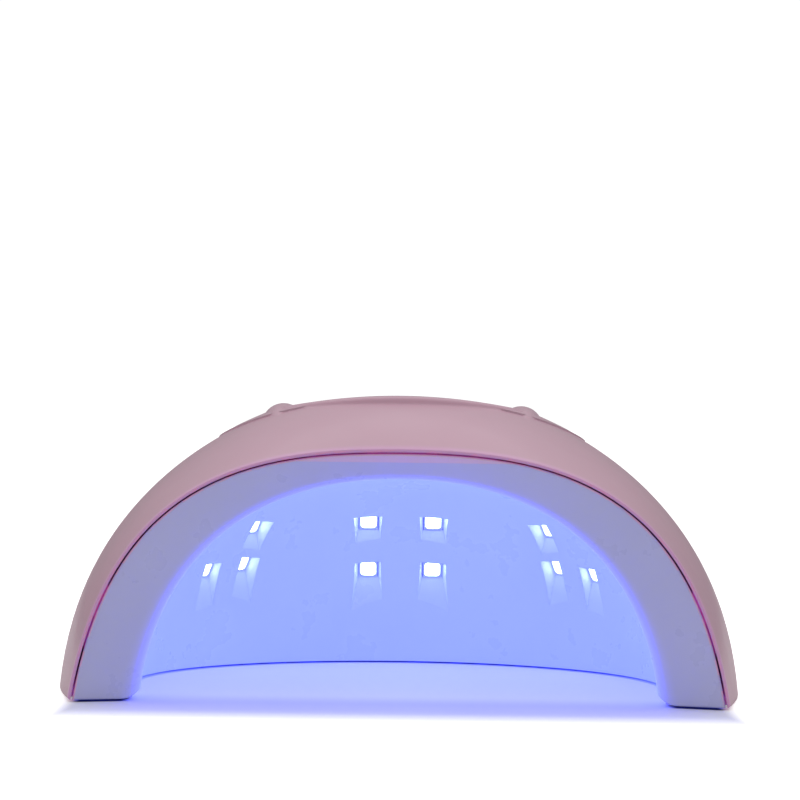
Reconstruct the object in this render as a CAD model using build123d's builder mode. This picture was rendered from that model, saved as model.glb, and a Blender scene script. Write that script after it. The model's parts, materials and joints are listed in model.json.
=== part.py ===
from build123d import *
import os
from math import cos, radians, sin

# UV LED nail lamp. All sizes are in millimetres. +Z is up, the hand goes in from -Y, and the
# origin is on the table, under the centre of the lamp's outline.

# ---- Driving dimensions ----

FOOT_PROUD = 0.6        # how far the rubber feet lift the body off the table
RIM_TO_AXIS = 57.0      # from the front rim back to the vertical axis of the rounded rear

# A cross-section of the lamp is an arch. Each tuple is the right half of one, from its foot to
# its crest: the four control points (x, height above the body's foot) of a Bezier curve.
RIM_ARCH = ((93.2, 0), (82.2, 67.2), (37.0, 71.6), (0, 71.6))
GIRTH_ARCH = ((100.3, 0), (95.9, 62.2), (39.6, 89.1), (0, 89.1))
MOUTH_ARCH = ((72.8, 0), (71.0, 19.0), (57.8, 62.6), (0, 62.6))
CAVITY_ARCH = ((79.7, 0), (79.2, 47.6), (53.5, 67.6), (0, 67.6))

SHELL_WALL = 2.2
LIP_WALL = 0.85         # the shell thins towards its front lip
LIP_ROUND = 0.3
FOOT_ROUND = 0.9        # rounding of the shell's outer bottom edge
SEAM_GAP = 0.4          # between the shell's lip and the liner
LINER_WALL = 2.0
LINER_SETBACK = 1.0     # the liner's edge sits behind the shell's lip
LEG_ROUND = 6.5         # rounding under the mouth's inner bottom corners
MOUTH_ROUND = 4.0       # rounding between the band and the cavity
BAND_DEPTH = 5.5        # how far the front band slopes back to the mouth
BAND_BACK = 9.0         # flat back of the band, from the front rim

CROWN_HEIGHT = 86.5     # highest line of the deck, above the body's foot
CROWN_RADIUS = 175.0    # the deck is curved from side to side
DECK_SIZE = (41.2, 31.0)        # half axes of the raised oval deck
TERRACE_SIZE = (55.3, 34.0)     # half axes of the low step beside and behind it
TERRACE_RISE = 0.5
RECESS_SIZE = (31.0, 19.0)      # half axes of the hollow that holds the control panel
DECK_TOP_ROUND = 2.0
DECK_FOOT_ROUND = 0.9
DECK_FLOOR_DROP = 4.4
DECK_FLOOR_WALL = 1.8
RIDGE_X = 35.6          # a low ridge stands on each side of the recess
RIDGE_LENGTH = 60.0
RIDGE_SAGITTA = 6.5
RIDGE_PROUD = 1.05

PANEL_DROP = 0.9        # panel surface below the deck's crown
PANEL_GAP = 0.2

BUTTON_PITCH = 18.0
BUTTON_RADIUS = 5.5
BUTTON_HOLE_RADIUS = 5.8
BUTTON_FLANGE_RADIUS = 6.9
BUTTON_FLANGE = 1.0
BUTTON_STOP_GAP = 0.15
BUTTON_TRAVEL = 0.5
BUTTON_DROP = 0.35      # button crown below the deck's crown
PLUNGER_RADIUS = 1.7
PLUNGER_LENGTH = 1.3
SWITCH_SIZE = 6.0
SWITCH_HEIGHT = 3.1

BOARD = 1.2             # thickness of every circuit board
LED_SIZE = 6.0
LED_WINDOW = 5.0
LED_HEIGHT = 1.2
POCKET_BACK = 1.0
POCKET_TOP = 3.8        # the ledge above an LED, from the LED's centre
POCKET_RAMP = 1.25      # ramp length per unit of depth
POCKET_FLOOR_WIDTH = 6.8

RING_THICKNESS = 2.4
RING_GAP = 0.3
GAP_RADIUS = 89.9       # middle of the space between shell and liner, from the rear axis
SCREW_RADIUS = 1.25
SCREW_HEAD_RADIUS = 2.6
SCREW_HEAD = 1.2
SCREW_LENGTH = 10.0
BOSS_RADIUS = 3.4
SMALL_SCREW_RADIUS = 1.0
SMALL_HEAD_RADIUS = 2.0
SMALL_HEAD = 1.0
FIT = 0.03              # radial clearance between a screw and its pilot hole
FOOT_RADIUS = 5.0
FOOT_RECESS = 0.6

JACK_HEIGHT = 12.0      # above the body's foot
JACK_THREAD_RADIUS = 4.0
JACK_FLANGE_RADIUS = 6.0
JACK_BORE_RADIUS = 2.8
JACK_PIN_RADIUS = 1.0
JACK_LENGTH = 10.0

# ---- Places worked out from them ----

BASE = FOOT_PROUD
FRONT_Y = -(RIM_TO_AXIS + GIRTH_ARCH[0][0]) / 2
AXIS_Y = FRONT_Y + RIM_TO_AXIS
REAR_Y = AXIS_Y + GIRTH_ARCH[0][0]
MOUTH_Y = FRONT_Y + LINER_SETBACK + BAND_DEPTH
DECK_Y = AXIS_Y + 1.0
TERRACE_Y = DECK_Y + TERRACE_SIZE[1] - DECK_SIZE[1] + 4.0
CROWN_Z = BASE + CROWN_HEIGHT
DECK_FLOOR_Z = CROWN_Z - DECK_FLOOR_DROP
SHELL_CEILING_Z = DECK_FLOOR_Z - DECK_FLOOR_WALL
FLANGE_TOP_Z = SHELL_CEILING_Z - BUTTON_STOP_GAP
FLANGE_Z = FLANGE_TOP_Z - BUTTON_FLANGE
SWITCH_TOP_Z = FLANGE_Z - BUTTON_TRAVEL - 0.25
CONTROL_BOARD_TOP_Z = SWITCH_TOP_Z - SWITCH_HEIGHT
CONTROL_BOARD_Z = CONTROL_BOARD_TOP_Z - BOARD
JACK_Z = BASE + JACK_HEIGHT
BUTTON_X = {"left": -BUTTON_PITCH, "middle": 0.0, "right": BUTTON_PITCH}

os.makedirs("parts", exist_ok=True)


# ---- Helpers ----

def save(piece, name):
    """Label a finished piece and write it as its own STEP file."""
    piece.label = name
    export_step(piece, f"parts/{name}.step")


def section(y):
    """The upright plane across the lamp at y, with X to the right and Z up in it."""
    return Plane.XZ.offset(-y)


def inset(arch, wall):
    """The arch moved inwards by wall: each leg of its control polygon moves by that much."""
    foot, flank, shoulder, crest = [Vector(x, z) for x, z in arch]
    up = (flank - foot).normalized()
    across = (shoulder - flank).normalized()
    up_start = foot + Vector(-up.Y, up.X) * wall
    across_start = flank + Vector(-across.Y, across.X) * wall
    new_foot = up_start - up * (up_start.Y / up.Y)
    between = across_start - up_start
    run = (between.X * across.Y - between.Y * across.X) / (up.X * across.Y - up.Y * across.X)
    new_flank = up_start + up * run
    top = crest.Y - wall
    new_shoulder = across_start + across * ((top - across_start.Y) / across.Y)
    return ((new_foot.X, 0), (new_flank.X, new_flank.Y), (new_shoulder.X, top), (0, top))


def arch_edges(arch, y):
    """Both halves of an arch and the line across its feet, at y."""
    halves = []
    for side in (1, -1):
        halves.append(Edge.make_bezier(*[Vector(side * x, y, BASE + z) for x, z in arch]))
    return halves + [Edge.make_line(halves[0] @ 0, halves[1] @ 0)]


def arch_sketch(arch, y):
    """The closed arch as a sketch on its upright plane."""
    return Sketch() + Face(Wire(arch_edges(arch, y)))


def dome(front_arch, girth_arch, front_y):
    """A solid that grows from the front arch into the girth arch, level there, and is round behind."""
    middle_y = (front_y + AXIS_Y) / 2
    rows = ((front_arch, front_y), (girth_arch, middle_y), (girth_arch, AXIS_Y))
    faces = []
    feet = []
    for side in (1, -1):
        net = [[Vector(side * x, y, BASE + z) for x, z in arch] for arch, y in rows]
        faces.append(Face.make_bezier_surface(net))
        feet.append(Edge.make_bezier(*[row[0] for row in net]))
    faces.append(Face(Wire(arch_edges(front_arch, front_y))))
    faces.append(Face(Wire(arch_edges(girth_arch, AXIS_Y))))
    ends = [Edge.make_line(feet[0] @ 1, feet[1] @ 1), Edge.make_line(feet[1] @ 0, feet[0] @ 0)]
    faces.append(Face(Wire(feet + ends)))
    front_half = Solid(Shell(faces))
    with BuildPart() as body:
        add(front_half)
        with BuildSketch(section(AXIS_Y)):
            with BuildLine():
                Bezier(*[(x, BASE + z) for x, z in girth_arch])
                Polyline((0, BASE + girth_arch[3][1]), (0, BASE), (girth_arch[0][0], BASE))
            make_face()
        revolve(axis=Axis((0, AXIS_Y, 0), (0, 0, 1)), revolution_arc=180)
    return body.part


def oval_column(half_axes, y, bottom, top):
    """An upright column of oval plan."""
    with BuildPart() as column:
        with BuildSketch(Plane.XY.offset(bottom)):
            with Locations((0, y)):
                Ellipse(*half_axes)
        extrude(amount=top - bottom)
    return column.part


def crown_barrel(drop):
    """A long barrel lying along Y, whose top is the deck's curved surface lowered by drop."""
    with BuildPart() as barrel:
        with BuildSketch(section(FRONT_Y - 20)):
            with Locations((0, CROWN_Z - drop - CROWN_RADIUS)):
                Circle(CROWN_RADIUS)
        extrude(amount=-(REAR_Y - FRONT_Y + 40))
    return barrel.part


def wall_plane(azimuth, along):
    """The plane on the cavity's rear wall at an azimuth, with Y up the wall and Z out through it."""
    profile = Edge.make_bezier(*[Vector(x, 0, BASE + z) for x, z in CAVITY_ARCH])
    spot = profile.position_at(along, position_mode=PositionMode.PARAMETER)
    slope = profile.tangent_at(along, position_mode=PositionMode.PARAMETER)
    outward = Vector(sin(radians(azimuth)), cos(radians(azimuth)), 0)
    origin = Vector(0, AXIS_Y, spot.Z) + outward * spot.X
    up_wall = outward * slope.X + Vector(0, 0, slope.Z)
    normal = outward * slope.Z - Vector(0, 0, slope.X)
    return Plane(origin=origin, x_dir=up_wall.cross(normal), z_dir=normal)


def disc(plane, radius, height, spots=((0, 0),)):
    """Round bars of one height on a plane, as a part."""
    with BuildPart() as bars:
        with BuildSketch(plane):
            with Locations(*spots):
                Circle(radius)
        extrude(amount=height)
    return bars.part


def block(plane, width, depth, height, spots=((0, 0),)):
    """Rectangular blocks of one height on a plane, as a part."""
    with BuildPart() as blocks:
        with BuildSketch(plane):
            with Locations(*spots):
                Rectangle(width, depth)
        extrude(amount=height)
    return blocks.part


# ---- Screw and foot places under the base ----

def round_gap(azimuth):
    """A point in the middle of the space between shell and liner, round the rear."""
    angle = radians(azimuth)
    return (GAP_RADIUS * sin(angle), AXIS_Y + GAP_RADIUS * cos(angle))


FRONT_LEG_X = 87.0      # middle of the space between shell and liner, near the front
FRONT_SCREW_Y = FRONT_Y + 16
FRONT_FOOT_Y = FRONT_Y + 27
BASE_SCREWS = [(side * FRONT_LEG_X, FRONT_SCREW_Y) for side in (1, -1)]
BASE_SCREWS += [round_gap(azimuth) for azimuth in (-84, -30, 30, 84)]
FEET = {
    "foot_front_left": (-FRONT_LEG_X, FRONT_FOOT_Y),
    "foot_front_right": (FRONT_LEG_X, FRONT_FOOT_Y),
    "foot_rear_left": round_gap(-52),
    "foot_rear_right": round_gap(52),
}

# ---- LED groups ----

# Each group has its plane on the cavity wall, the depth of its pockets ("floor"), how much their
# side walls lean out per unit of depth ("flare"), and the places of its LEDs and of the screws
# that hold its board.
LED_GROUPS = {
    "back": {
        "plane": wall_plane(0, 0.321),
        "floor": 1.6,
        "flare": 0.3,
        "leds": [(u, v) for u in (-10.4, 10.4) for v in (-9.0, 9.0)],
        "screws": [(0, -9), (0, 9)],
    },
    "right": {
        "plane": wall_plane(47.2, 0.315),
        "floor": 2.8,
        "flare": 0.1,
        "leds": [(7.0, 7.8), (8.5, -6.1), (-7.0, -7.8)],
        "screws": [(0, -9.5), (0, 9.5)],
    },
    "left": {
        "plane": wall_plane(-47.2, 0.315),
        "floor": 2.8,
        "flare": 0.1,
        "leds": [(-7.0, 7.8), (-8.5, -6.1), (7.0, -7.8)],
        "screws": [(0, -9.5), (0, 9.5)],
    },
    "ceiling": {
        "plane": Plane(origin=(0, AXIS_Y + 5, BASE + CAVITY_ARCH[3][1])),
        "floor": 1.6,
        "flare": 0.3,
        "leds": [(u, v) for u in (-22, 0, 22) for v in (-10, 10)],
        "screws": [(-11, 0), (11, 0)],
    },
}
POCKET_MARGIN = 2.4     # material left round the outermost pockets of a group
BLOCK_DROP = 3.0        # each block reaches further down than up, to back the ramps
for group in LED_GROUPS.values():
    widest = max(abs(u) for u, v in group["leds"])
    highest = max(abs(v) for u, v in group["leds"])
    group["width"] = 2 * (widest + POCKET_FLOOR_WIDTH / 2 + POCKET_MARGIN)
    group["height"] = 2 * (highest + POCKET_TOP + 4.0)
    group["block_height"] = group["height"] + 2 * BLOCK_DROP


def pocket(plane, spot, depth, flare):
    """The wedge cut from the cavity for one LED: a ledge above it, and a ramp that runs out below."""
    reach = 7.0
    half = LED_SIZE / 2 + 0.2
    side_plane = Plane(origin=plane.from_local_coords((*spot, 0)), x_dir=plane.y_dir, z_dir=plane.x_dir)
    with BuildPart() as wedge:
        with BuildSketch(side_plane):
            with BuildLine():
                Polyline(
                    (POCKET_TOP, -reach),
                    (POCKET_TOP, depth),
                    (-half, depth),
                    (-half - POCKET_RAMP * (depth + reach), -reach),
                    close=True,
                )
            make_face()
        extrude(amount=POCKET_FLOOR_WIDTH, both=True)
        with BuildSketch(Plane(origin=side_plane.origin, x_dir=plane.x_dir, z_dir=plane.y_dir)):
            floor_half = POCKET_FLOOR_WIDTH / 2
            mouth_half = floor_half + flare * (depth + reach)
            with BuildLine():
                Polyline(
                    (-floor_half, -depth),
                    (floor_half, -depth),
                    (mouth_half, reach),
                    (-mouth_half, reach),
                    close=True,
                )
            make_face()
        extrude(amount=30, both=True, mode=Mode.INTERSECT)
    return wedge.part


# ---- Outer shell ----

with BuildPart() as rounded_skin:
    add(dome(RIM_ARCH, GIRTH_ARCH, FRONT_Y))
    foot_edges = rounded_skin.edges().filter_by_position(Axis.Z, BASE - 0.1, BASE + 0.1)
    foot_edges = foot_edges.filter_by(lambda edge: abs(edge.center().Y - FRONT_Y) > 1)
    fillet(foot_edges, radius=FOOT_ROUND)
    lip_edges = rounded_skin.edges().filter_by(GeomType.LINE, reverse=True)
    lip_edges = lip_edges.filter_by_position(Axis.Y, FRONT_Y - 0.1, FRONT_Y + 0.1)
    fillet(lip_edges, radius=LIP_ROUND)

skin = rounded_skin.part
terrace = dome(inset(RIM_ARCH, -TERRACE_RISE), inset(GIRTH_ARCH, -TERRACE_RISE), FRONT_Y)
hollow = dome(inset(RIM_ARCH, LIP_WALL), inset(GIRTH_ARCH, SHELL_WALL), FRONT_Y)
crown = crown_barrel(0)

DECK_COLUMN_Z = CROWN_Z - 14

with BuildPart() as terrace_cap:
    add(terrace)
    add(oval_column(TERRACE_SIZE, TERRACE_Y, DECK_COLUMN_Z - 10, CROWN_Z + 8), mode=Mode.INTERSECT)
    add(crown, mode=Mode.INTERSECT)

with BuildPart() as deck_block:
    add(oval_column(DECK_SIZE, DECK_Y, DECK_COLUMN_Z, CROWN_Z + 2))
    add(crown, mode=Mode.INTERSECT)
    fillet(deck_block.edges().group_by(Axis.Z)[-1], radius=DECK_TOP_ROUND)

with BuildPart() as hollow_cut:
    add(hollow)
    split(bisect_by=Plane.XY.offset(SHELL_CEILING_Z), keep=Keep.BOTTOM)

# Each ridge is a slim spindle lying along Y, with only its back above the deck.
RIDGE_Z = CROWN_Z - RIDGE_X**2 / (2 * CROWN_RADIUS) + RIDGE_PROUD - RIDGE_SAGITTA

with BuildPart() as ridges:
    for side in (1, -1):
        with BuildSketch(Plane.YZ.offset(side * RIDGE_X)):
            with BuildLine():
                start = (DECK_Y - RIDGE_LENGTH / 2, RIDGE_Z)
                end = (DECK_Y + RIDGE_LENGTH / 2, RIDGE_Z)
                SagittaArc(start, end, -RIDGE_SAGITTA)
                Line(end, start)
            make_face()
        revolve(axis=Axis((side * RIDGE_X, DECK_Y, RIDGE_Z), (0, 1, 0)))

JACK_BOSS_Y = REAR_Y - 7.0
boss_places = Plane.XY.offset(BASE + RING_THICKNESS + 0.1)
with BuildPart() as bosses:
    add(disc(boss_places, BOSS_RADIUS, 42, BASE_SCREWS))
    add(block(section(JACK_BOSS_Y), 17, 17, -6, [(0, JACK_Z)]))
    add(skin, mode=Mode.INTERSECT)

CONTROL_POSTS = [(x, DECK_Y + y) for x in (-26.5, 26.5) for y in (-12.5, 12.5)]
JACK_FACE_Y = REAR_Y - 3.9
INDICATOR_Y = DECK_Y + 11.0
INDICATORS = [(x, INDICATOR_Y) for x in BUTTON_X.values()]


def at_deck_foot(edge):
    """Whether an edge follows the deck's oval and is not on its crown."""
    middle = edge @ 0.5
    across = middle.X / DECK_SIZE[0]
    along = (middle.Y - DECK_Y) / DECK_SIZE[1]
    on_oval = abs(across**2 + along**2 - 1) < 0.002
    return on_oval and middle.Z < CROWN_Z - middle.X**2 / (2 * CROWN_RADIUS) - 1.3


with BuildPart() as decked_skin:
    add(skin)
    add(crown, mode=Mode.INTERSECT)
    add(deck_block.part)
    fillet(decked_skin.edges().filter_by(at_deck_foot), radius=DECK_FOOT_ROUND)

with BuildPart() as outer_shell:
    add(decked_skin.part)
    add(terrace_cap.part)
    add(ridges.part)
    add(hollow_cut.part, mode=Mode.SUBTRACT)
    add(oval_column(RECESS_SIZE, DECK_Y, DECK_FLOOR_Z, CROWN_Z + 5), mode=Mode.SUBTRACT)
    add(bosses.part)
    post_height = SHELL_CEILING_Z - CONTROL_BOARD_TOP_Z + 0.5
    add(disc(Plane.XY.offset(CONTROL_BOARD_TOP_Z), 2.6, post_height, CONTROL_POSTS))
    add(disc(boss_places, SCREW_RADIUS + FIT, 12, BASE_SCREWS), mode=Mode.SUBTRACT)
    post_hole = disc(Plane.XY.offset(CONTROL_BOARD_TOP_Z), SMALL_SCREW_RADIUS + FIT, 4, CONTROL_POSTS)
    add(post_hole, mode=Mode.SUBTRACT)
    button_places = [(x, DECK_Y) for x in BUTTON_X.values()]
    button_holes = disc(Plane.XY.offset(SHELL_CEILING_Z - 1), BUTTON_HOLE_RADIUS, 4, button_places)
    add(button_holes, mode=Mode.SUBTRACT)
    add(disc(Plane.XY.offset(SHELL_CEILING_Z - 1), 1.3, 4, INDICATORS), mode=Mode.SUBTRACT)
    jack_axis = [(0, JACK_Z)]
    add(disc(section(REAR_Y - 15), JACK_THREAD_RADIUS + 0.1, -20, jack_axis), mode=Mode.SUBTRACT)
    add(disc(section(JACK_FACE_Y), JACK_FLANGE_RADIUS + 0.2, -10, jack_axis), mode=Mode.SUBTRACT)

save(outer_shell.part, "outer_shell")


# ---- Control panel, buttons and what they press ----

with BuildPart() as control_panel:
    panel_size = (RECESS_SIZE[0] - PANEL_GAP, RECESS_SIZE[1] - PANEL_GAP)
    add(oval_column(panel_size, DECK_Y, DECK_FLOOR_Z, CROWN_Z))
    add(crown_barrel(PANEL_DROP), mode=Mode.INTERSECT)
    panel_holes = disc(Plane.XY.offset(DECK_FLOOR_Z - 1), BUTTON_HOLE_RADIUS, 8, button_places)
    add(panel_holes, mode=Mode.SUBTRACT)
    add(disc(Plane.XY.offset(DECK_FLOOR_Z - 1), 1.15, 8, INDICATORS), mode=Mode.SUBTRACT)

save(control_panel.part, "control_panel")

for position, x in BUTTON_X.items():
    place = [(x, DECK_Y)]
    with BuildPart() as button:
        add(disc(Plane.XY.offset(FLANGE_Z), BUTTON_RADIUS, CROWN_Z - FLANGE_Z, place))
        add(crown_barrel(BUTTON_DROP), mode=Mode.INTERSECT)
        fillet(button.edges().group_by(Axis.Z)[-1], radius=0.6)
        add(disc(Plane.XY.offset(FLANGE_Z), BUTTON_FLANGE_RADIUS, BUTTON_FLANGE, place))
    save(button.part, f"button_{position}")

    with BuildPart() as plunger:
        plunger_start = Plane.XY.offset(FLANGE_Z - PLUNGER_LENGTH - BUTTON_TRAVEL)
        add(disc(plunger_start, PLUNGER_RADIUS, PLUNGER_LENGTH + BUTTON_TRAVEL, place))
    save(plunger.part, f"switch_plunger_{position}")

with BuildPart() as switch_bodies:
    add(block(Plane.XY.offset(CONTROL_BOARD_TOP_Z), SWITCH_SIZE, SWITCH_SIZE, SWITCH_HEIGHT, button_places))
    fillet(switch_bodies.edges().filter_by(Axis.Z), radius=0.5)
    bore_depth = PLUNGER_LENGTH + BUTTON_TRAVEL + 0.2
    bore_start = Plane.XY.offset(SWITCH_TOP_Z - bore_depth)
    add(disc(bore_start, PLUNGER_RADIUS + 0.06, bore_depth + 1, button_places), mode=Mode.SUBTRACT)

save(switch_bodies.part, "switch_bodies")

with BuildPart() as indicator_pipes:
    pipe_z = CONTROL_BOARD_TOP_Z + 0.8
    add(disc(Plane.XY.offset(pipe_z), 1.1, CROWN_Z - pipe_z, INDICATORS))
    add(crown_barrel(PANEL_DROP - 0.1), mode=Mode.INTERSECT)

save(indicator_pipes.part, "indicator_pipes")

with BuildPart() as indicator_leds:
    add(block(Plane.XY.offset(CONTROL_BOARD_TOP_Z), 1.6, 0.8, 0.7, INDICATORS))

save(indicator_leds.part, "indicator_leds")

CONTROL_BOARD_SIZE = (60.0, 32.0)

with BuildPart() as control_board:
    with BuildSketch(Plane.XY.offset(CONTROL_BOARD_Z)):
        with Locations((0, DECK_Y)):
            RectangleRounded(*CONTROL_BOARD_SIZE, 2.5)
    extrude(amount=BOARD)
    board_holes = disc(Plane.XY.offset(CONTROL_BOARD_Z - 1), SMALL_SCREW_RADIUS + 0.15, 4, CONTROL_POSTS)
    add(board_holes, mode=Mode.SUBTRACT)

save(control_board.part, "control_board")

with BuildPart() as board_components:
    component_plane = Plane.XY.offset(CONTROL_BOARD_TOP_Z)
    add(block(component_plane, 6.0, 5.0, 1.5, [(9, DECK_Y - 9)]))
    add(block(component_plane, 6.5, 3.6, 2.3, [(-9.5, DECK_Y - 8)]))
    add(block(component_plane, 4.6, 4.6, 3.0, [(-19, DECK_Y - 11)]))
    add(disc(component_plane, 2.5, 4.6, [(19, DECK_Y - 10)]))
    add(block(component_plane, 8.0, 4.5, 4.2, [(-9, DECK_Y + 12.5), (9, DECK_Y + 12.5)]))
    add(block(component_plane, 5.0, 4.0, 3.0, [(0, DECK_Y - 13)]))

save(board_components.part, "board_components")


def screws(plane, places, length):
    """Small pan-head screws, their heads standing on the plane and their shanks going back into it."""
    with BuildPart() as group:
        with BuildSketch(plane):
            with Locations(*places):
                Circle(SMALL_HEAD_RADIUS)
        extrude(amount=SMALL_HEAD)
        outward = Axis(plane.origin, plane.z_dir)
        fillet(group.faces().sort_by(outward)[-len(places):].edges(), radius=0.4)
        with BuildSketch(plane):
            with Locations(*places):
                Circle(SMALL_SCREW_RADIUS)
        extrude(amount=-length)
        with BuildSketch(plane.offset(SMALL_HEAD)):
            with Locations(*places):
                Rectangle(0.5, 2.4)
                Rectangle(2.4, 0.5)
        extrude(amount=-0.6, mode=Mode.SUBTRACT)
    return group.part


under_board = Plane(origin=(0, 0, CONTROL_BOARD_Z), x_dir=(1, 0, 0), z_dir=(0, 0, -1))
control_screw_places = [(x, -y) for x, y in CONTROL_POSTS]
save(screws(under_board, control_screw_places, BOARD + 3.5), "control_board_screws")

# ---- Inner liner ----

liner_edge = inset(RIM_ARCH, LIP_WALL + SEAM_GAP)
band_start = inset(liner_edge, 0.5)
cavity = dome(MOUTH_ARCH, CAVITY_ARCH, MOUTH_Y)
liner_body = dome(inset(MOUTH_ARCH, -LINER_WALL), inset(CAVITY_ARCH, -LINER_WALL), MOUTH_Y)
LINER_FRONT_Y = FRONT_Y + LINER_SETBACK


with BuildPart() as band_plate:
    extrude(arch_sketch(liner_edge, LINER_FRONT_Y), amount=BAND_BACK - LINER_SETBACK, dir=(0, 1, 0))

with BuildPart() as band_horn:
    band_rim = arch_sketch(band_start, LINER_FRONT_Y).face()
    loft([band_rim, arch_sketch(MOUTH_ARCH, MOUTH_Y).face()], ruled=True)

# What is cut away to round the bottom inner corner of each leg.
corner_x = MOUTH_ARCH[0][0] - 0.6
with BuildPart() as leg_corners:
    for side in (1, -1):
        with BuildSketch(section(FRONT_Y)):
            with BuildLine():
                heel = (side * (corner_x + LEG_ROUND), BASE)
                shin = (side * corner_x, BASE + LEG_ROUND)
                RadiusArc(heel, shin, side * LEG_ROUND)
                inner_x = side * (corner_x - 4)
                Polyline(shin, (inner_x, BASE + LEG_ROUND), (inner_x, BASE - 1), (heel[0], BASE - 1), heel)
            make_face()
        extrude(amount=-30)

with BuildPart() as liner_flange:
    flange_reach = inset(CAVITY_ARCH, -LINER_WALL - 4)
    add(dome(inset(MOUTH_ARCH, -LINER_WALL - 4), flange_reach, MOUTH_Y))
    flange_z = BASE + RING_THICKNESS + 0.05
    split(bisect_by=Plane.XY.offset(flange_z), keep=Keep.TOP)
    split(bisect_by=Plane.XY.offset(flange_z + 1.6), keep=Keep.BOTTOM)

def at_mouth(edge):
    """Whether an edge is one of the two long ones where the band meets the cavity."""
    return abs(edge.center().Y - MOUTH_Y) < 0.01 and edge.length > MOUTH_ARCH[0][0] / 2


SENSOR_EYES = [(-4.5, 0), (4.5, 0)]
SENSOR_BLOCK = 8.5      # height of the boss that carries the hand sensor
SENSOR_BOARD_SIZE = (20, 10)

with BuildPart() as inner_liner:
    add(band_plate.part)
    add(liner_body)
    add(liner_flange.part)
    for group in LED_GROUPS.values():
        block_plane = group["plane"].offset(-6)
        block_depth = 6 + group["floor"] + POCKET_BACK
        add(block(block_plane, group["width"], group["block_height"], block_depth, [(0, -BLOCK_DROP)]))
    sensor_plane = Plane(origin=(0, FRONT_Y + 24, BASE + CAVITY_ARCH[3][1] - 6))
    add(block(sensor_plane, *SENSOR_BOARD_SIZE, SENSOR_BLOCK))
    add(band_horn.part, mode=Mode.SUBTRACT)
    add(cavity, mode=Mode.SUBTRACT)
    fillet(inner_liner.edges().filter_by(at_mouth), radius=MOUTH_ROUND)
    add(leg_corners.part, mode=Mode.SUBTRACT)
    for group in LED_GROUPS.values():
        for spot in group["leds"]:
            wedge = pocket(group["plane"], spot, group["floor"], group["flare"])
            add(wedge, mode=Mode.SUBTRACT)
        window_plane = group["plane"].offset(group["floor"] - 0.5)
        window = block(window_plane, LED_SIZE + 0.4, LED_SIZE + 0.4, POCKET_BACK + 1, group["leds"])
        add(window, mode=Mode.SUBTRACT)
        back_plane = group["plane"].offset(group["floor"] + POCKET_BACK)
        add(disc(back_plane, SMALL_SCREW_RADIUS + FIT, -2.6, group["screws"]), mode=Mode.SUBTRACT)
    add(disc(sensor_plane.offset(-6), 1.7, 16, SENSOR_EYES), mode=Mode.SUBTRACT)

save(inner_liner.part, "inner_liner")

# ---- LED boards, their LEDs and screws ----

for name, group in LED_GROUPS.items():
    back_plane = group["plane"].offset(group["floor"] + POCKET_BACK)
    with BuildPart() as led_board:
        with BuildSketch(back_plane):
            RectangleRounded(group["width"], group["height"], 1.5)
        extrude(amount=BOARD)
        hole_plane = back_plane.offset(-1)
        add(disc(hole_plane, SMALL_SCREW_RADIUS + 0.15, 4, group["screws"]), mode=Mode.SUBTRACT)
    save(led_board.part, f"led_board_{name}")

    with BuildPart() as leds:
        add(block(back_plane, LED_SIZE, LED_SIZE, -LED_HEIGHT, group["leds"]))
        window_plane = back_plane.offset(-LED_HEIGHT)
        with BuildSketch(window_plane):
            with Locations(*group["leds"]):
                RectangleRounded(LED_WINDOW, LED_WINDOW, 1.2)
        extrude(amount=0.5, mode=Mode.SUBTRACT)
    save(leds.part, f"leds_{name}")

    with BuildPart() as led_windows:
        with BuildSketch(window_plane.offset(0.5)):
            with Locations(*group["leds"]):
                RectangleRounded(LED_WINDOW, LED_WINDOW, 1.2)
        extrude(amount=-0.5)
    save(led_windows.part, f"led_windows_{name}")

    group["screw_set"] = screws(back_plane.offset(BOARD), group["screws"], BOARD + 2.4)

with BuildPart() as led_board_screws:
    for group in LED_GROUPS.values():
        add(group["screw_set"])

save(led_board_screws.part, "led_board_screws")

# ---- Hand sensor in the ceiling, just behind the mouth ----

sensor_back = sensor_plane.offset(SENSOR_BLOCK)

with BuildPart() as sensor_board:
    add(block(sensor_back, *SENSOR_BOARD_SIZE, BOARD))

save(sensor_board.part, "sensor_board")

with BuildPart() as sensor_eyes:
    add(disc(sensor_back, 1.5, -4.2, SENSOR_EYES))
    fillet(sensor_eyes.edges().group_by(Axis.Z)[0], radius=1.2)

save(sensor_eyes.part, "sensor_eyes")

# ---- Base ring, its screws and the feet ----

with BuildPart() as base_ring:
    add(dome(inset(RIM_ARCH, LIP_WALL + RING_GAP), inset(GIRTH_ARCH, SHELL_WALL + RING_GAP), FRONT_Y))
    split(bisect_by=Plane.XY.offset(BASE + RING_THICKNESS), keep=Keep.BOTTOM)
    split(bisect_by=section(FRONT_Y + BAND_BACK + RING_GAP), keep=Keep.BOTTOM)
    ring_inside = dome(
        inset(MOUTH_ARCH, -LINER_WALL - RING_GAP),
        inset(CAVITY_ARCH, -LINER_WALL - RING_GAP),
        MOUTH_Y,
    )
    add(ring_inside, mode=Mode.SUBTRACT)
    base_plane = Plane.XY.offset(BASE)
    add(disc(base_plane, SCREW_RADIUS + 0.2, RING_THICKNESS, BASE_SCREWS), mode=Mode.SUBTRACT)
    add(disc(base_plane, SCREW_HEAD_RADIUS + 0.3, SCREW_HEAD + 0.2, BASE_SCREWS), mode=Mode.SUBTRACT)
    add(disc(base_plane, FOOT_RADIUS + 0.05, FOOT_RECESS, FEET.values()), mode=Mode.SUBTRACT)

save(base_ring.part, "base_ring")

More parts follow.
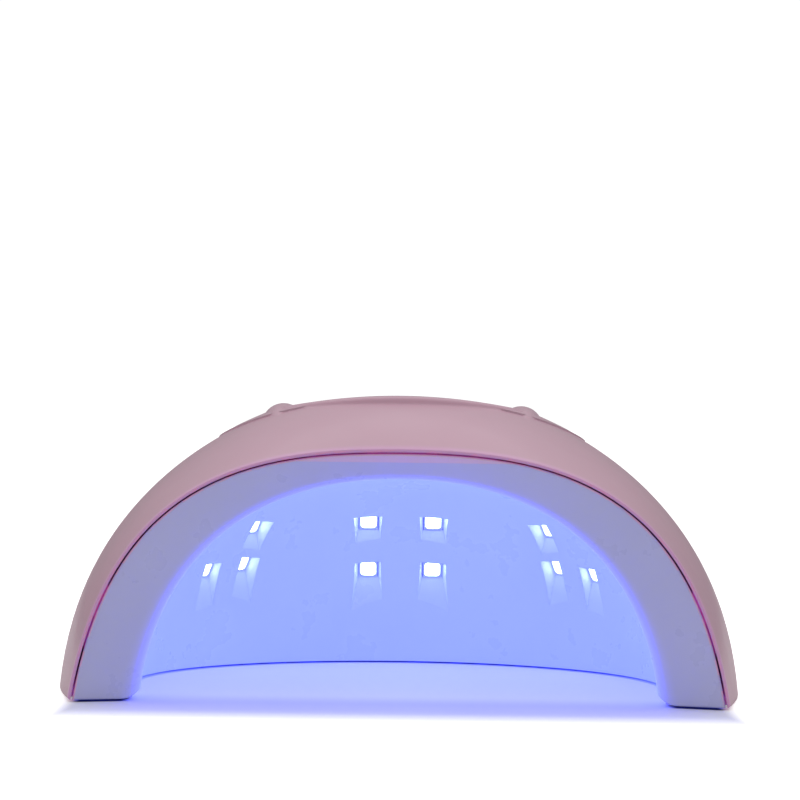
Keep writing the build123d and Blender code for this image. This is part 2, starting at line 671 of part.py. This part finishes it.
with BuildPart() as base_screws:
    head_plane = Plane.XY.offset(BASE + 0.2)
    add(disc(head_plane, SCREW_HEAD_RADIUS, SCREW_HEAD, BASE_SCREWS))
    fillet(base_screws.edges().group_by(Axis.Z)[0], radius=0.5)
    add(disc(head_plane, SCREW_RADIUS, SCREW_HEAD + SCREW_LENGTH, BASE_SCREWS))
    add(block(head_plane, 0.7, 3.0, 0.7, BASE_SCREWS), mode=Mode.SUBTRACT)
    add(block(head_plane, 3.0, 0.7, 0.7, BASE_SCREWS), mode=Mode.SUBTRACT)

save(base_screws.part, "base_screws")

for name, place in FEET.items():
    with BuildPart() as foot:
        add(disc(Plane.XY, FOOT_RADIUS, FOOT_PROUD + FOOT_RECESS, [place]))
        fillet(foot.edges().group_by(Axis.Z)[0], radius=0.5)
    save(foot.part, name)

# ---- Power inlet jack at the rear ----

jack_face = section(JACK_FACE_Y + 1.2)
jack_place = [(0, JACK_Z)]

TAB_HEIGHT = 1.4        # solder tabs on top of the jack's inner end
TAB_Y = JACK_FACE_Y - JACK_LENGTH + 2.0

with BuildPart() as dc_jack:
    add(disc(jack_face, JACK_FLANGE_RADIUS, 1.2, jack_place))
    add(disc(section(JACK_FACE_Y), JACK_THREAD_RADIUS, JACK_LENGTH - 1.2, jack_place))
    add(disc(jack_face, JACK_BORE_RADIUS, JACK_LENGTH - 2.0, jack_place), mode=Mode.SUBTRACT)
    pin_seat = section(JACK_FACE_Y + 1.2 - JACK_LENGTH + 3)
    add(disc(pin_seat, JACK_PIN_RADIUS + FIT, 4, jack_place), mode=Mode.SUBTRACT)
    tab_plane = Plane.XY.offset(JACK_Z + JACK_THREAD_RADIUS - 0.6)
    add(block(tab_plane, 4.4, 1.0, TAB_HEIGHT + 0.6, [(0, TAB_Y)]))

save(dc_jack.part, "dc_jack")

with BuildPart() as jack_pin:
    pin_end = section(JACK_FACE_Y + 1.2 - JACK_LENGTH - 2.0)
    add(disc(pin_end, JACK_PIN_RADIUS, -(JACK_LENGTH + 1.0), jack_place))
    fillet(jack_pin.edges().group_by(Axis.Y)[-1], radius=0.6)

save(jack_pin.part, "jack_pin")

with BuildPart() as jack_nut:
    with BuildSketch(section(JACK_BOSS_Y - 0.05)):
        with Locations((0, JACK_Z)):
            RegularPolygon(5.5, 6, major_radius=False)
            Circle(JACK_THREAD_RADIUS + 0.05, mode=Mode.SUBTRACT)
    extrude(amount=2.0)

save(jack_nut.part, "jack_nut")

# ---- Wiring in the space between shell and liner ----

LEAD_RADIUS = 0.7
CONNECTOR_Y = DECK_Y + 12.5 + 2.25
CONNECTOR_Z = CONTROL_BOARD_TOP_Z + 2.0


def lead(route):
    """A round wire along straight runs joined by arcs as large as the runs allow."""
    points = [Vector(*point) for point in route]
    runs = [after - before for before, after in zip(points, points[1:])]
    radii = []
    for before, after in zip(runs, runs[1:]):
        half_turn = radians(before.get_angle(after)) / 2
        radii.append(0.45 * min(before.length, after.length) / (sin(half_turn) / cos(half_turn)))
    with BuildPart() as wire:
        with BuildLine() as path:
            FilletPolyline(*points, radius=radii)
        with BuildSketch(Plane(origin=points[0], z_dir=runs[0])):
            Circle(LEAD_RADIUS)
        sweep()
    return wire.part


def over_the_liner(x):
    """The last stretch of a wire, from the rear of the liner's ceiling into a connector at x."""
    return [(x, AXIS_Y + 52, 69.0), (x, AXIS_Y + 36, 75.0), (x, AXIS_Y + 25, CONNECTOR_Z),
            (x, CONNECTOR_Y, CONNECTOR_Z)]


with BuildPart() as power_lead:
    tab_top = JACK_Z + JACK_THREAD_RADIUS + TAB_HEIGHT
    for x, end_x in ((-1.2, 6.0), (1.2, 8.4)):
        climb = [(x, TAB_Y, tab_top), (x, TAB_Y, 25.0), (x, AXIS_Y + 85.5, 34.0),
                 (x + 1.2, AXIS_Y + 80.0, 45.5), (x + 3.0, AXIS_Y + 72.0, 56.0), (end_x, AXIS_Y + 62.0, 63.5)]
        add(lead(climb + over_the_liner(end_x)))

save(power_lead.part, "power_lead")


def board_exit(name, spot, length):
    """Where a wire leaves the back of an LED board, and the end of its first straight run."""
    plane = LED_GROUPS[name]["plane"]
    lift = LED_GROUPS[name]["floor"] + POCKET_BACK + BOARD
    return [plane.from_local_coords((*spot, lift)), plane.from_local_coords((*spot, lift + length))]


def round_rear(azimuth, radius, z):
    """A point at an azimuth and radius about the rear axis."""
    angle = radians(azimuth)
    return (radius * sin(angle), AXIS_Y + radius * cos(angle), z)


with BuildPart() as led_leads:
    add(lead(board_exit("back", (6, 13), 4) + [(-6, AXIS_Y + 61, 63.5)] + over_the_liner(-6)))
    for side, name in ((-1, "left"), (1, "right")):
        end_x = side * 11.5
        climb = [round_rear(side * 46, 59, 64.0), round_rear(side * 36, 47, 70.0)]
        climb.append((side * 14, AXIS_Y + 31, 75.2))
        finish = [(end_x, AXIS_Y + 24, CONNECTOR_Z), (end_x, CONNECTOR_Y, CONNECTOR_Z)]
        add(lead(board_exit(name, (0, 13), 4) + climb + finish))
    ceiling_top = board_exit("ceiling", (0, 0), 1)[0].Z
    riser_y = DECK_Y + CONTROL_BOARD_SIZE[1] / 2 + 2.0
    riser_x = -8.8
    bend = (riser_x, riser_y, CONNECTOR_Z)
    add(lead([(riser_x, riser_y, ceiling_top), bend, (riser_x, CONNECTOR_Y, CONNECTOR_Z)]))

save(led_leads.part, "led_leads")

with BuildPart() as sensor_lead:
    sensor_start = (0, FRONT_Y + 27, sensor_back.origin.Z + BOARD)
    sensor_end = (0, DECK_Y - 15, CONTROL_BOARD_TOP_Z + 1.5)
    rise = (0, sensor_start[1], sensor_start[2] + 3.2)
    level = (0, (sensor_start[1] + sensor_end[1]) / 2, sensor_end[2])
    add(lead([sensor_start, rise, level, sensor_end]))

save(sensor_lead.part, "sensor_lead")
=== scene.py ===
import json
import math

import bpy
from mathutils import Matrix, Vector
from mathutils.bvhtree import BVHTree


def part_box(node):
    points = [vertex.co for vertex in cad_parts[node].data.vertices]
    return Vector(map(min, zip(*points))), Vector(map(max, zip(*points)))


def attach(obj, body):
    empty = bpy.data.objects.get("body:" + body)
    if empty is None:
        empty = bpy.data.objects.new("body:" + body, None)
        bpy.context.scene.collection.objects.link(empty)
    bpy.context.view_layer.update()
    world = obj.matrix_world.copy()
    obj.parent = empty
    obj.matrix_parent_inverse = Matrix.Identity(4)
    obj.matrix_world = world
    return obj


# Looks for the UV LED nail lamp. Everything is in metres, in the frame's own axes: +Z up, the
# open front faces -Y.

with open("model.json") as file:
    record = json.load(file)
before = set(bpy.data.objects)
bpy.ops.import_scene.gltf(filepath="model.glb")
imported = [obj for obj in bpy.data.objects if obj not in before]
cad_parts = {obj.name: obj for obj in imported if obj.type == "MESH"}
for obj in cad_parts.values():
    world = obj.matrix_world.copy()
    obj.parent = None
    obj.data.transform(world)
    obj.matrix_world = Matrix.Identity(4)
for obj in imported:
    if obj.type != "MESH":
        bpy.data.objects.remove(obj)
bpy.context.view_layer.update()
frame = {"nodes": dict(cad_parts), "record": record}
nodes = frame["nodes"]

# ---- Places, from the frame ----

MM = 0.001
SHELL_LOW, SHELL_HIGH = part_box("outer_shell")
LINER_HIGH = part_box("inner_liner")[1]
FRONT_Y = SHELL_LOW.y
AXIS_Y = SHELL_HIGH.y - SHELL_HIGH.x    # the rear is a half circle round this
CEILING_Z = LINER_HIGH.z - 2.5 * MM     # the LED blocks stand above the cavity's ceiling
BAND_END_Y = FRONT_Y + 6.5 * MM         # where the sloping front band meets the cavity

# ---- Light and painted glow ----

LED_LIGHT = (0.065, 0.09, 1.0)
LED_POWER = 50.0
# Painted glow: emission on the liner's inner face, on the shell's lip and in the seam, standing in for the
# LEDs' light.
CAVITY_PAINTED_GLOW = 2.2
BAND_PAINTED_GLOW = 0.13
LIP_PAINTED_LIGHT = (0.26, 0.06, 0.42)          # painted light: the colour the pink shell's lip glows with, standing in for the LEDs' light it would pass
LIP_PAINTED_GLOW = 0.25
SEAM_PAINTED_LIGHT = (0.16, 0.01, 0.09)         # and the painted glow in the seam behind it
SEAM_PAINTED_GLOW = 0.8
WORLD_HORIZON = 0.25
WORLD_TOP = 0.8
BACKDROP = 1.05                         # what the camera sees behind the lamp
OVERHEAD_SIZE = (2.6, 1.4)
OVERHEAD_PLACE = (0, 0.5, 1.5)
OVERHEAD_POWER = 6
FLOOR_LIFT = 0.75
FLOOR_LIFT_INSIDE = 0.2                 # share of that lift inside the lamp


# ---- Camera ----

CAMERA_DISTANCE = 0.857
CAMERA_HEIGHT = 0.0892
CAMERA_PITCH = -0.207
CAMERA_ROLL = 0.75
CAMERA_X = -0.0008
LENS = 137.3


def make_camera():
    """The camera, straight before the open front and a little tilted and rolled."""
    data = bpy.data.cameras.new("camera")
    data.lens = LENS
    data.sensor_width = 36.0
    data.clip_start = 0.01
    data.clip_end = 50.0
    camera = bpy.data.objects.new("camera", data)
    bpy.context.scene.collection.objects.link(camera)
    level = Matrix.Rotation(math.radians(90 + CAMERA_PITCH), 4, "X")
    roll = Matrix.Rotation(math.radians(CAMERA_ROLL), 4, "Z")
    place = Matrix.Translation((CAMERA_X, FRONT_Y - CAMERA_DISTANCE, CAMERA_HEIGHT))
    camera.matrix_world = place @ level @ roll
    bpy.context.scene.camera = camera


# ---- Node helpers ----

class Shader:
    """A node material under construction: a Principled shader and what feeds it."""

    def __init__(self, name):
        self.material = bpy.data.materials.new(name)
        self.material.use_nodes = True
        self.tree = self.material.node_tree
        self.shader = self.tree.nodes["Principled BSDF"]
        self.place = self.add("ShaderNodeTexCoord").outputs["Object"]

    def add(self, kind, **settings):
        node = self.tree.nodes.new(kind)
        for key, value in settings.items():
            setattr(node, key, value)
        return node

    def link(self, source, target):
        self.tree.links.new(source, target)

    def set(self, **values):
        for key, value in values.items():
            socket = self.shader.inputs[key.replace("_", " ")]
            if socket.type == "RGBA":
                value = (*value, 1.0)
            socket.default_value = value

    def feed(self, key, source):
        self.link(source, self.shader.inputs[key])

    def noise(self, scale, detail=3.0, roughness=0.55):
        node = self.add("ShaderNodeTexNoise")
        node.inputs["Scale"].default_value = scale
        node.inputs["Detail"].default_value = detail
        node.inputs["Roughness"].default_value = roughness
        self.link(self.place, node.inputs["Vector"])
        return node.outputs["Fac"]

    def spread(self, source, low, high, to_low=0.0, to_high=1.0):
        """source mapped smoothly from low..high to to_low..to_high."""
        node = self.add("ShaderNodeMapRange", interpolation_type="SMOOTHSTEP")
        node.inputs["From Min"].default_value = low
        node.inputs["From Max"].default_value = high
        node.inputs["To Min"].default_value = to_low
        node.inputs["To Max"].default_value = to_high
        self.link(source, node.inputs["Value"])
        return node.outputs["Result"]

    def mix(self, factor, first, second):
        """Two colours mixed by a factor; each is a colour or an output."""
        node = self.add("ShaderNodeMix", data_type="RGBA")
        self.link(factor, node.inputs["Factor"])
        for value, socket in ((first, node.inputs[6]), (second, node.inputs[7])):
            if isinstance(value, tuple):
                socket.default_value = (*value, 1.0)
            else:
                self.link(value, socket)
        return node.outputs[2]

    def math(self, operation, first, second=None):
        """One maths operation; each value is a number or an output."""
        node = self.add("ShaderNodeMath", operation=operation)
        for value, socket in ((first, node.inputs[0]), (second, node.inputs[1])):
            if value is None:
                continue
            if isinstance(value, (int, float)):
                socket.default_value = value
            else:
                self.link(value, socket)
        return node.outputs[0]

    def axis(self, name):
        """One coordinate of the shaded point, X, Y or Z, in metres."""
        node = self.add("ShaderNodeSeparateXYZ")
        self.link(self.place, node.inputs[0])
        return node.outputs[name]

    def bump(self, height, strength, distance, soften=0.0):
        """Fine relief; soften rounds the look of sharp edges by that radius."""
        node = self.add("ShaderNodeBump")
        node.inputs["Strength"].default_value = strength
        node.inputs["Distance"].default_value = distance
        self.link(height, node.inputs["Height"])
        if soften:
            edge = self.add("ShaderNodeBevel", samples=8)
            edge.inputs["Radius"].default_value = soften
            self.link(edge.outputs["Normal"], node.inputs["Normal"])
        self.feed("Normal", node.outputs["Normal"])


def faces_inwards(shader):
    """1 on faces of a dome that look towards the inside of the lamp, 0 on those that look out of it."""
    facing = shader.add("ShaderNodeSeparateXYZ")
    shader.link(shader.add("ShaderNodeTexCoord").outputs["Normal"], facing.inputs[0])
    behind = shader.math("MAXIMUM", shader.math("SUBTRACT", shader.axis("Y"), AXIS_Y), 0.0)
    outward = shader.math("MULTIPLY", shader.axis("X"), facing.outputs["X"])
    outward = shader.math("ADD", outward, shader.math("MULTIPLY", behind, facing.outputs["Y"]))
    outward = shader.math("ADD", outward, shader.math("MULTIPLY", shader.axis("Z"), facing.outputs["Z"]))
    return shader.math("LESS_THAN", outward, 0.0)


def painted_seam_glow(shader, faces):
    """How strongly those faces get a painted glow in the seam between shell and liner, near the front only.
    """
    near_front = shader.spread(shader.axis("Y"), FRONT_Y + 25 * MM, FRONT_Y + 35 * MM, SEAM_PAINTED_GLOW, 0.0)
    return shader.math("MULTIPLY", faces, near_front)


def tinted(shader, colour, amount, scale):
    """A base colour that drifts a little lighter and darker over the surface."""
    darker = tuple(channel * (1 - amount) for channel in colour)
    lighter = tuple(min(1.0, channel * (1 + amount)) for channel in colour)
    shader.feed("Base Color", shader.mix(shader.spread(shader.noise(scale), 0.3, 0.7), darker, lighter))


def uneven_roughness(shader, low, high, scale):
    """A roughness that drifts between low and high."""
    shader.feed("Roughness", shader.spread(shader.noise(scale, 4.0), 0.3, 0.7, low, high))


# ---- Materials ----

def shell_pink():
    """Glossy moulded plastic: a pale pink with a faint orange-peel surface, and a painted glow on its lip and
    in the seam that stands in for the LEDs' light.
    """
    made = Shader("shell_pink")
    tinted(made, (0.66, 0.385, 0.495), 0.02, 18)
    # Painted glow: the lip and the seam faces emit, standing in for the LEDs' light that the shell would
    # pass.
    painted_lip_glow = made.spread(made.axis("Y"), FRONT_Y + 0.3 * MM, FRONT_Y + 2.5 * MM, LIP_PAINTED_GLOW, 0.0)
    inside = faces_inwards(made)
    made.feed("Emission Color", made.mix(inside, LIP_PAINTED_LIGHT, SEAM_PAINTED_LIGHT))
    made.feed("Emission Strength", made.math("MAXIMUM", painted_lip_glow, painted_seam_glow(made, inside)))
    uneven_roughness(made, 0.30, 0.38, 60)
    made.set(Coat_Weight=0.25, Coat_Roughness=0.12, IOR=1.45, Subsurface_Weight=0.06)
    made.set(Subsurface_Radius=(0.004, 0.002, 0.002))
    made.bump(made.noise(420, 2.0), 0.05, 0.00008, soften=1.0 * MM)
    return made.material


def liner_white():
    """Glossy white plastic whose inner face, round the hand, has a painted glow: emission standing in for the
    LEDs' light.
    """
    made = Shader("liner_white")
    tinted(made, (0.57, 0.57, 0.59), 0.015, 30)
    uneven_roughness(made, 0.26, 0.36, 80)
    along = made.axis("Y")
    height = made.axis("Z")
    # Painted glow: inner faces below the ceiling emit, faint on the band, strong past it, a little brighter
    # higher up and drifting at random.
    lit = made.math("MULTIPLY", faces_inwards(made), made.math("LESS_THAN", height, CEILING_Z))
    past_band = made.spread(along, BAND_END_Y - 2.0 * MM, BAND_END_Y + 2.6 * MM, BAND_PAINTED_GLOW, CAVITY_PAINTED_GLOW)
    even = made.spread(height, SHELL_LOW.z, LINER_HIGH.z, 0.96, 1.06)
    drift = made.spread(made.noise(9, 2.0), 0.25, 0.75, 0.97, 1.03)
    glow = made.math("MULTIPLY", past_band, made.math("MULTIPLY", even, drift))
    made.feed("Emission Color", made.mix(lit, SEAM_PAINTED_LIGHT, LED_LIGHT))
    # Painted glow in the seam on the liner's outer faces, near the front.
    outer_painted_glow = painted_seam_glow(made, made.math("SUBTRACT", 1.0, lit))
    made.feed("Emission Strength", made.math("ADD", outer_painted_glow, made.math("MULTIPLY", glow, lit)))
    made.bump(made.noise(500, 2.0), 0.04, 0.00006, soften=0.8 * MM)
    return made.material


def plastic(name, colour, low=0.25, high=0.35, amount=0.03, coat=0.0, grain=700, bump=0.06):
    """Plastic or rubber with roughness between low and high and a fine surface grain."""
    made = Shader(name)
    tinted(made, colour, amount, 60)
    uneven_roughness(made, low, high, 150)
    made.set(Coat_Weight=coat)
    made.bump(made.noise(grain, 3.0), bump, 0.0001)
    return made.material


def metal(name, colour, low, high, scale):
    """Metal with fine marks in its polish."""
    made = Shader(name)
    tinted(made, colour, 0.06, 200)
    uneven_roughness(made, low, high, scale)
    made.set(Metallic=1.0)
    made.bump(made.noise(1500, 3.0), 0.08, 0.00005)
    return made.material


def circuit_board():
    """White solder mask with faint traces showing through it."""
    made = Shader("circuit_board")
    grid = made.add("ShaderNodeTexBrick")
    grid.inputs["Scale"].default_value = 220
    grid.inputs["Mortar Size"].default_value = 0.03
    grid.inputs["Color1"].default_value = (0.78, 0.80, 0.78, 1)
    grid.inputs["Color2"].default_value = (0.82, 0.83, 0.81, 1)
    grid.inputs["Mortar"].default_value = (0.66, 0.70, 0.66, 1)
    made.link(made.place, grid.inputs["Vector"])
    made.feed("Base Color", grid.outputs["Color"])
    uneven_roughness(made, 0.35, 0.5, 120)
    made.bump(grid.outputs["Fac"], 0.2, 0.00004)
    return made.material


def led_window():
    """The lit face of an LED: nearly white, with the blue of the light behind it."""
    made = Shader("led_window")
    made.set(Base_Color=(0.7, 0.75, 0.9), Roughness=0.25)
    dies = made.spread(made.noise(900, 1.0), 0.3, 0.7, 0.9, 1.1)
    made.set(Emission_Color=LED_LIGHT)
    made.feed("Emission Strength", made.math("MULTIPLY", dies, LED_POWER))
    return made.material


def clear_plastic():
    """The light pipes of the indicators."""
    made = Shader("clear_plastic")
    tinted(made, (0.92, 0.94, 0.96), 0.02, 100)
    uneven_roughness(made, 0.06, 0.14, 200)
    made.set(Transmission_Weight=0.6, IOR=1.49)
    return made.material


def paint_nodes():
    """Each CAD node gets the material of its slot in the record."""
    made = {
        "shell_pink": shell_pink(),
        "liner_white": liner_white(),
        "panel_plastic": plastic("panel_plastic", (0.86, 0.82, 0.84), 0.16, 0.24, 0.015, coat=0.4),
        "button_plastic": plastic("button_plastic", (0.78, 0.50, 0.56), 0.2, 0.3, 0.02, coat=0.4),
        "switch_plastic": plastic("switch_plastic", (0.03, 0.03, 0.035), 0.4, 0.55),
        "clear_plastic": clear_plastic(),
        "circuit_board": circuit_board(),
        "component_plastic": plastic("component_plastic", (0.03, 0.03, 0.032), 0.45, 0.6, 0.1),
        "led_package": plastic("led_package", (0.85, 0.85, 0.82), 0.3, 0.4),
        "led_window": led_window(),
        "sensor_window": plastic("sensor_window", (0.02, 0.015, 0.04), 0.05, 0.12, coat=0.5),
        "base_white": plastic("base_white", (0.74, 0.73, 0.75), 0.4, 0.55, 0.03, grain=2500, bump=0.25),
        "screw_steel": metal("screw_steel", (0.55, 0.55, 0.57), 0.22, 0.4, 900),
        "foot_rubber": plastic("foot_rubber", (0.018, 0.018, 0.02), 0.65, 0.85, 0.15, grain=1800, bump=0.4),
        "jack_plastic": plastic("jack_plastic", (0.015, 0.015, 0.017), 0.25, 0.4, 0.1),
        "jack_metal": metal("jack_metal", (0.68, 0.66, 0.62), 0.15, 0.3, 700),
        "wire_jacket": plastic("wire_jacket", (0.5, 0.03, 0.03), 0.35, 0.5, 0.05),
    }
    slots = {row["node"]: row["material_slot"] for row in frame["record"]["subparts"]}
    for name, piece in nodes.items():
        piece.data.materials.clear()
        piece.data.materials.append(made[slots[name]])


# ---- Raised dots that tell the buttons apart ----

PIP_RADIUS = 0.6 * MM
PIP_HEIGHT = 0.22 * MM
PIP_PITCH = 2.0 * MM
PIP_SINK = 0.08 * MM


def add_pip(verts, faces, spot, normal):
    """A shallow round dot on a surface, its foot sunk a little into it."""
    turn = Vector((0, 0, 1)).rotation_difference(normal)
    rings = 5
    sides = 24
    start = len(verts)
    for ring in range(rings):
        angle = math.pi / 2 * ring / rings
        radius = PIP_RADIUS * math.cos(angle)
        height = PIP_HEIGHT * math.sin(angle) - PIP_SINK
        for side in range(sides):
            around = 2 * math.pi * side / sides
            verts.append(spot + turn @ Vector((radius * math.cos(around), radius * math.sin(around), height)))
    verts.append(spot + turn @ Vector((0, 0, PIP_HEIGHT - PIP_SINK)))
    for ring in range(rings - 1):
        for side in range(sides):
            here = start + ring * sides
            after = (side + 1) % sides
            faces.append((here + side, here + after, here + sides + after, here + sides + side))
    last = start + (rings - 1) * sides
    for side in range(sides):
        faces.append((last + side, last + (side + 1) % sides, len(verts) - 1))
    faces.append(tuple(start + side for side in reversed(range(sides))))


def make_pips():
    """One, two and three dots on the left, middle and right buttons."""
    white = plastic("pip_white", (0.86, 0.82, 0.84), 0.3, 0.45, 0.02)
    for count, position in enumerate(("left", "middle", "right"), 1):
        button = nodes[f"button_{position}"]
        corners = [vertex.co for vertex in button.data.vertices]
        surface = BVHTree.FromPolygons(corners, [face.vertices for face in button.data.polygons])
        low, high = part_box(f"button_{position}")
        middle = (low + high) / 2
        verts = []
        faces = []
        for index in range(count):
            x = middle.x + (index - (count - 1) / 2) * PIP_PITCH
            above = Vector((x, middle.y, high.z + MM))
            spot, normal, _, _ = surface.ray_cast(above, Vector((0, 0, -1)))
            add_pip(verts, faces, spot, normal)
        mesh = bpy.data.meshes.new(f"pips_{position}")
        mesh.from_pydata(verts, [], faces)
        mesh.polygons.foreach_set("use_smooth", [True] * len(faces))
        mesh.materials.append(white)
        pips = bpy.data.objects.new(f"pips_{position}", mesh)
        bpy.context.scene.collection.objects.link(pips)
        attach(pips, f"button_{position}_body")


# ---- Stage and light ----

def make_floor():
    """A pale floor. It is lifted to white beside and well before the lamp, and a painted shadow makes it near
    black under its legs.
    """
    mesh = bpy.data.meshes.new("floor")
    reach = 6.0
    corners = [(-reach, -reach, 0), (reach, -reach, 0), (reach, reach, 0), (-reach, reach, 0)]
    mesh.from_pydata(corners, [], [(0, 1, 2, 3)])
    floor = bpy.data.objects.new("floor", mesh)
    bpy.context.scene.collection.objects.link(floor)
    made = Shader("floor_white")
    made.set(Roughness=0.6, Specular_IOR_Level=0.15)
    across = made.axis("X")
    along = made.axis("Y")
    behind = made.math("MAXIMUM", made.math("SUBTRACT", along, AXIS_Y), 0.0)
    squares = [made.math("MULTIPLY", value, value) for value in (across, behind)]
    away = made.math("SQRT", made.math("ADD", *squares))

    # Where it is lifted to white, and a little inside the lamp, up to the foot of the cavity's wall.
    beside = made.spread(away, 90 * MM, 97 * MM)
    before = made.spread(along, FRONT_Y - 53 * MM, FRONT_Y - 13 * MM, 1.0, 0.0)
    inside = made.spread(along, FRONT_Y + 2 * MM, FRONT_Y + 30 * MM, 0.0, FLOOR_LIFT_INSIDE)
    inside = made.math("MULTIPLY", inside, made.spread(away, 78.5 * MM, 79.5 * MM, 1.0, 0.0))

    # Painted shadow: near black under each leg, starting at the band's foot, which runs back towards the
    # middle.
    side = made.math("ABSOLUTE", across)
    leg_outside = made.spread(side, 90 * MM, 92 * MM, 1.0, 0.0)
    legs = made.math("MULTIPLY", made.spread(side, 76 * MM, 79 * MM), leg_outside)
    slope = 0.3
    foot_line = made.math("ADD", along, made.math("MULTIPLY", side, slope))
    foot_y = FRONT_Y + MM + slope * LINER_HIGH.x
    leg_back = made.spread(along, FRONT_Y + 14 * MM, FRONT_Y + 20 * MM, 1.0, 0.0)
    depth = made.math("MULTIPLY", made.spread(foot_line, foot_y - 1.2 * MM, foot_y), leg_back)
    under = made.math("MULTIPLY", legs, depth)

    pale = made.mix(made.spread(made.noise(3), 0.3, 0.7), (0.797, 0.797, 0.797), (0.803, 0.803, 0.803))
    # Painted shadow: the base colour goes near black under the legs.
    made.feed("Base Color", made.mix(under, pale, (0.01, 0.01, 0.03)))
    lift = made.math("MAXIMUM", inside, made.math("MAXIMUM", beside, before))
    lift = made.math("MULTIPLY", lift, FLOOR_LIFT)
    # No lift where the shadow is painted under the legs.
    lift = made.math("MULTIPLY", lift, made.math("SUBTRACT", 1.0, under))
    seen = made.add("ShaderNodeLightPath").outputs["Is Camera Ray"]
    made.set(Emission_Color=(1.0, 1.0, 1.0))
    made.feed("Emission Strength", made.math("MULTIPLY", lift, seen))
    mesh.materials.append(made.material)


def make_world():
    """A soft studio: light falls mostly from above, and what is behind the lamp is white."""
    world = bpy.data.worlds.new("studio")
    bpy.context.scene.world = world
    world.use_nodes = True
    tree = world.node_tree
    place = tree.nodes.new("ShaderNodeTexCoord")
    parts = tree.nodes.new("ShaderNodeSeparateXYZ")
    dome = tree.nodes.new("ShaderNodeMapRange")
    dome.interpolation_type = "SMOOTHSTEP"
    dome.inputs["From Min"].default_value = 0.0
    dome.inputs["From Max"].default_value = 1.0
    dome.inputs["To Min"].default_value = WORLD_HORIZON
    dome.inputs["To Max"].default_value = WORLD_TOP
    seen = tree.nodes.new("ShaderNodeLightPath")
    pick = tree.nodes.new("ShaderNodeMix")
    pick.data_type = "FLOAT"
    background = tree.nodes["Background"]
    background.inputs["Color"].default_value = (1, 1, 1, 1)
    tree.links.new(place.outputs["Generated"], parts.inputs[0])
    tree.links.new(parts.outputs["Z"], dome.inputs["Value"])
    tree.links.new(seen.outputs["Is Camera Ray"], pick.inputs[0])
    tree.links.new(dome.outputs["Result"], pick.inputs[2])
    pick.inputs[3].default_value = BACKDROP
    tree.links.new(pick.outputs[0], background.inputs["Strength"])


def make_overhead():
    """A large soft light above and behind the lamp."""
    data = bpy.data.lights.new("overhead", "AREA")
    data.shape = "RECTANGLE"
    data.size, data.size_y = OVERHEAD_SIZE
    data.energy = OVERHEAD_POWER
    light = bpy.data.objects.new("overhead", data)
    bpy.context.scene.collection.objects.link(light)
    light.location = OVERHEAD_PLACE
    light.rotation_mode = "QUATERNION"
    light.rotation_quaternion = (-Vector(OVERHEAD_PLACE)).to_track_quat("-Z", "Y")


make_camera()
paint_nodes()
make_pips()
make_floor()
make_world()
make_overhead()
bpy.context.scene.view_settings.view_transform = "Standard"
